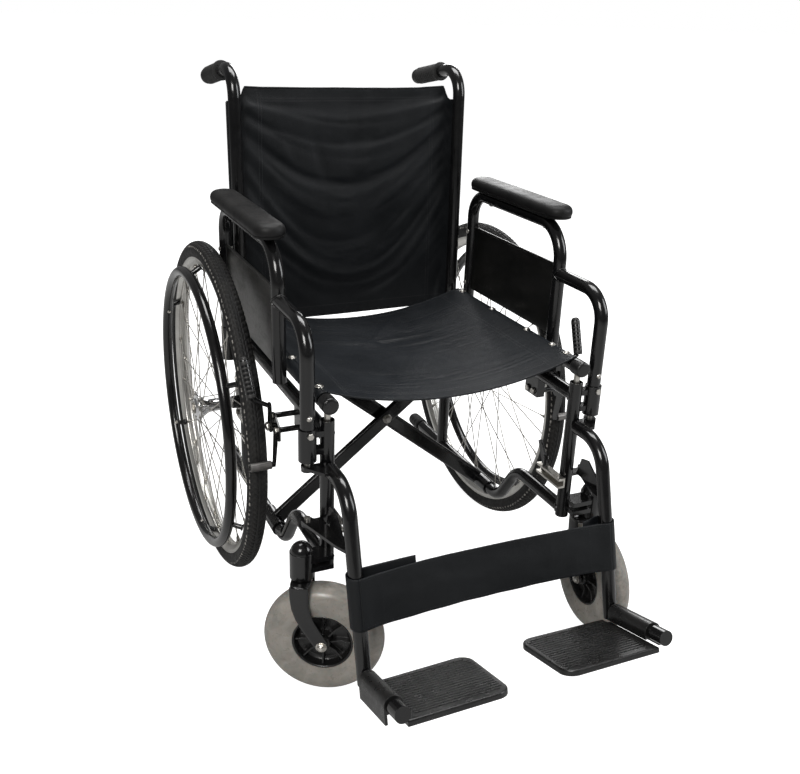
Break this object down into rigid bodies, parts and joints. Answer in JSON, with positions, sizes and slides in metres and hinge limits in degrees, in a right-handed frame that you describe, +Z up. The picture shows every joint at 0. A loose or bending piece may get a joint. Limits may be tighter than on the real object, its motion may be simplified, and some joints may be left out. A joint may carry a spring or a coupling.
{
  "type": "manual wheelchair",
  "caption": "folding manual wheelchair with spoked rear wheels, swivel castors, detachable desk arms, swing-away footrests, sling seat and back",
  "frame": {"origin": "middle of the chair's box, on the floor", "axes": "+Z up, the chair faces -Y, +X is its user's left"},
  "size_m": [0.656, 1.0329, 0.9102],
  "materials": {
    "frame_paint": "black gloss enamel",
    "grip_rubber": "ribbed black rubber",
    "tyre_rubber": "black treaded rubber",
    "alloy_rim": "satin alloy",
    "spoke_steel": "drawn steel wire",
    "chrome": "bright chrome",
    "zinc": "zinc plated steel",
    "castor_pvc": "grey translucent vinyl",
    "black_plastic": "moulded black plastic",
    "pad_vinyl": "soft moulded skin",
    "guard_panel": "black sheet",
    "nylon": "coated black nylon"
  },
  "bodies": {
    "right_frame": {"side_frame_right": "frame_paint", "push_grip_right": "grip_rubber", "tipping_cap_right": "grip_rubber", "back_screws_right": "zinc", "rear_axle_right": "chrome", "arm_socket_right": "frame_paint", "brake_bracket_right": "frame_paint"},
    "left_frame": {"side_frame_left": "frame_paint", "push_grip_left": "grip_rubber", "tipping_cap_left": "grip_rubber", "back_screws_left": "zinc", "rear_axle_left": "chrome", "arm_socket_left": "frame_paint", "brake_bracket_left": "frame_paint"},
    "rear_wheel_right": {"rear_tyre_right": "tyre_rubber", "rear_rim_right": "alloy_rim", "rear_spokes_right": "spoke_steel", "rear_hub_right": "chrome", "handrim_right": "frame_paint"},
    "castor_right": {"castor_fork_right": "frame_paint", "castor_axle_right": "zinc"},
    "castor_wheel_right": {"castor_tyre_right": "castor_pvc", "castor_hub_right": "black_plastic"},
    "armrest_right": {"arm_frame_right": "frame_paint", "arm_pad_right": "pad_vinyl", "skirt_guard_right": "guard_panel"},
    "hanger_arm_right": {"hanger_right": "frame_paint"},
    "foot_right": {"footplate_right": "black_plastic", "footplate_hinge_right": "black_plastic"},
    "latch_right": {"latch_lever_right": "frame_paint"},
    "brake_handle_right": {"brake_lever_right": "frame_paint"},
    "brake_arm_right": {"brake_shoe_right": "zinc"},
    "rear_wheel_left": {"rear_tyre_left": "tyre_rubber", "rear_rim_left": "alloy_rim", "rear_spokes_left": "spoke_steel", "rear_hub_left": "chrome", "handrim_left": "frame_paint"},
    "castor_left": {"castor_fork_left": "frame_paint", "castor_axle_left": "zinc"},
    "castor_wheel_left": {"castor_tyre_left": "castor_pvc", "castor_hub_left": "black_plastic"},
    "armrest_left": {"arm_frame_left": "frame_paint", "arm_pad_left": "pad_vinyl", "skirt_guard_left": "guard_panel"},
    "hanger_arm_left": {"hanger_left": "frame_paint", "calf_strap": "nylon"},
    "foot_left": {"footplate_left": "black_plastic", "footplate_hinge_left": "black_plastic"},
    "latch_left": {"latch_lever_left": "frame_paint"},
    "brake_handle_left": {"brake_lever_left": "frame_paint"},
    "brake_arm_left": {"brake_shoe_left": "zinc"},
    "cross_brace_right_foot": {"cross_brace_a": "frame_paint", "cross_bolt": "zinc", "rail_cap_left": "black_plastic", "seat_screws_left": "zinc"},
    "cross_brace_left_foot": {"cross_brace_b": "frame_paint", "rail_cap_right": "black_plastic", "seat_screws_right": "zinc"},
    "seat_cloth": {"seat_sling": "nylon"},
    "back_cloth": {"back_sling": "nylon"}
  },
  "joints": [
    {"name": "fold", "type": "hinge", "parent": "right_frame", "child": "cross_brace_right_foot", "pos_m": [-0.217, 0.06346, 0.127], "axis": [0, -1, 0], "range_deg": [0, 40], "deforming": ["seat_sling", "back_sling", "calf_strap"]},
    {"name": "fold_cross", "type": "hinge", "parent": "cross_brace_right_foot", "child": "cross_brace_left_foot", "pos_m": [0, 0.06346, 0.301], "axis": [0, -1, 0], "range_deg": [-80.1, 0]},
    {"name": "fold_left_frame", "type": "hinge", "parent": "cross_brace_left_foot", "child": "left_frame", "pos_m": [0.217, 0.06346, 0.127], "axis": [0, -1, 0], "range_deg": [0, 40.1]},
    {"name": "fold_seat_level", "type": "hinge", "parent": "cross_brace_right_foot", "child": "seat_cloth", "pos_m": [0.217, 0.06346, 0.475], "axis": [0, -1, 0], "range_deg": [-40.1, 0]},
    {"name": "fold_back_gather", "type": "slide", "parent": "right_frame", "child": "back_cloth", "axis": [1, 0, 0], "range_m": [-0.16311, 0]},
    {"name": "rear_wheel_spin_right", "type": "hinge", "parent": "right_frame", "child": "rear_wheel_right", "pos_m": [-0.2845, 0.21146, 0.305], "axis": [1, 0, 0], "continuous": true},
    {"name": "castor_swivel_right", "type": "hinge", "parent": "right_frame", "child": "castor_right", "pos_m": [-0.263, -0.23554, 0.095], "axis": [0, 0, 1], "continuous": true},
    {"name": "castor_spin_right", "type": "hinge", "parent": "castor_right", "child": "castor_wheel_right", "pos_m": [-0.23239, -0.25251, 0.095], "axis": [0.4848, 0.8746, 0], "continuous": true},
    {"name": "armrest_lift_right", "type": "slide", "parent": "right_frame", "child": "armrest_right", "axis": [0, 0, 1], "range_m": [0, 0.043]},
    {"name": "hanger_swing_right", "type": "hinge", "parent": "right_frame", "child": "hanger_arm_right", "pos_m": [-0.249, -0.22154, 0.374], "axis": [0, 0, -1], "range_deg": [0, 90]},
    {"name": "footplate_flip_right", "type": "hinge", "parent": "hanger_arm_right", "child": "foot_right", "pos_m": [-0.217, -0.37954, 0.108], "axis": [0, -0.9613, 0.2756], "range_deg": [0, 91]},
    {"name": "latch_press_right", "type": "hinge", "parent": "right_frame", "child": "latch_right", "pos_m": [-0.1989, -0.18254, 0.29], "axis": [0, 0, -1], "range_deg": [0, 18], "stiffness_Nm_per_rad": 0.2},
    {"name": "brake_lever_right_turn", "type": "hinge", "parent": "right_frame", "child": "brake_handle_right", "pos_m": [-0.267, -0.09654, 0.393], "axis": [1, 0, 0], "range_deg": [0, 50]},
    {"name": "brake_shoe_right_press", "type": "hinge", "parent": "right_frame", "child": "brake_arm_right", "pos_m": [-0.2637, -0.11254, 0.383], "axis": [1, 0, 0], "range_deg": [0, 2.7]},
    {"name": "rear_wheel_spin_left", "type": "hinge", "parent": "left_frame", "child": "rear_wheel_left", "pos_m": [0.2845, 0.21146, 0.305], "axis": [1, 0, 0], "continuous": true},
    {"name": "castor_swivel_left", "type": "hinge", "parent": "left_frame", "child": "castor_left", "pos_m": [0.263, -0.23554, 0.095], "axis": [0, 0, 1], "continuous": true},
    {"name": "castor_spin_left", "type": "hinge", "parent": "castor_left", "child": "castor_wheel_left", "pos_m": [0.26056, -0.27045, 0.095], "axis": [0.9976, -0.0698, 0], "continuous": true},
    {"name": "armrest_lift_left", "type": "slide", "parent": "left_frame", "child": "armrest_left", "axis": [0, 0, 1], "range_m": [0, 0.043]},
    {"name": "hanger_swing_left", "type": "hinge", "parent": "left_frame", "child": "hanger_arm_left", "pos_m": [0.249, -0.22154, 0.374], "axis": [0, 0, 1], "range_deg": [0, 90]},
    {"name": "footplate_flip_left", "type": "hinge", "parent": "hanger_arm_left", "child": "foot_left", "pos_m": [0.217, -0.37954, 0.108], "axis": [0, 0.9613, -0.2756], "range_deg": [0, 91]},
    {"name": "latch_press_left", "type": "hinge", "parent": "left_frame", "child": "latch_left", "pos_m": [0.1989, -0.18254, 0.29], "axis": [0, 0, 1], "range_deg": [0, 18], "stiffness_Nm_per_rad": 0.2},
    {"name": "brake_lever_left_turn", "type": "hinge", "parent": "left_frame", "child": "brake_handle_left", "pos_m": [0.267, -0.09654, 0.393], "axis": [1, 0, 0], "range_deg": [0, 50]},
    {"name": "brake_shoe_left_press", "type": "hinge", "parent": "left_frame", "child": "brake_arm_left", "pos_m": [0.2637, -0.11254, 0.383], "axis": [1, 0, 0], "range_deg": [0, 2.7]}
  ],
  "couplings": [
    {"joint": "fold_cross", "follows": "fold", "ratio": -2},
    {"joint": "fold_left_frame", "follows": "fold", "ratio": 1},
    {"joint": "fold_seat_level", "follows": "fold", "ratio": -1},
    {"joint": "fold_back_gather", "follows": "fold", "m_per_rad": -0.23293},
    {"joint": "brake_shoe_right_press", "follows": "brake_lever_right_turn", "ratio": 0.053},
    {"joint": "footplate_flip_right", "follows": "fold", "ratio": 2.25},
    {"joint": "brake_shoe_left_press", "follows": "brake_lever_left_turn", "ratio": 0.053},
    {"joint": "footplate_flip_left", "follows": "fold", "ratio": 2.25}
  ]
}
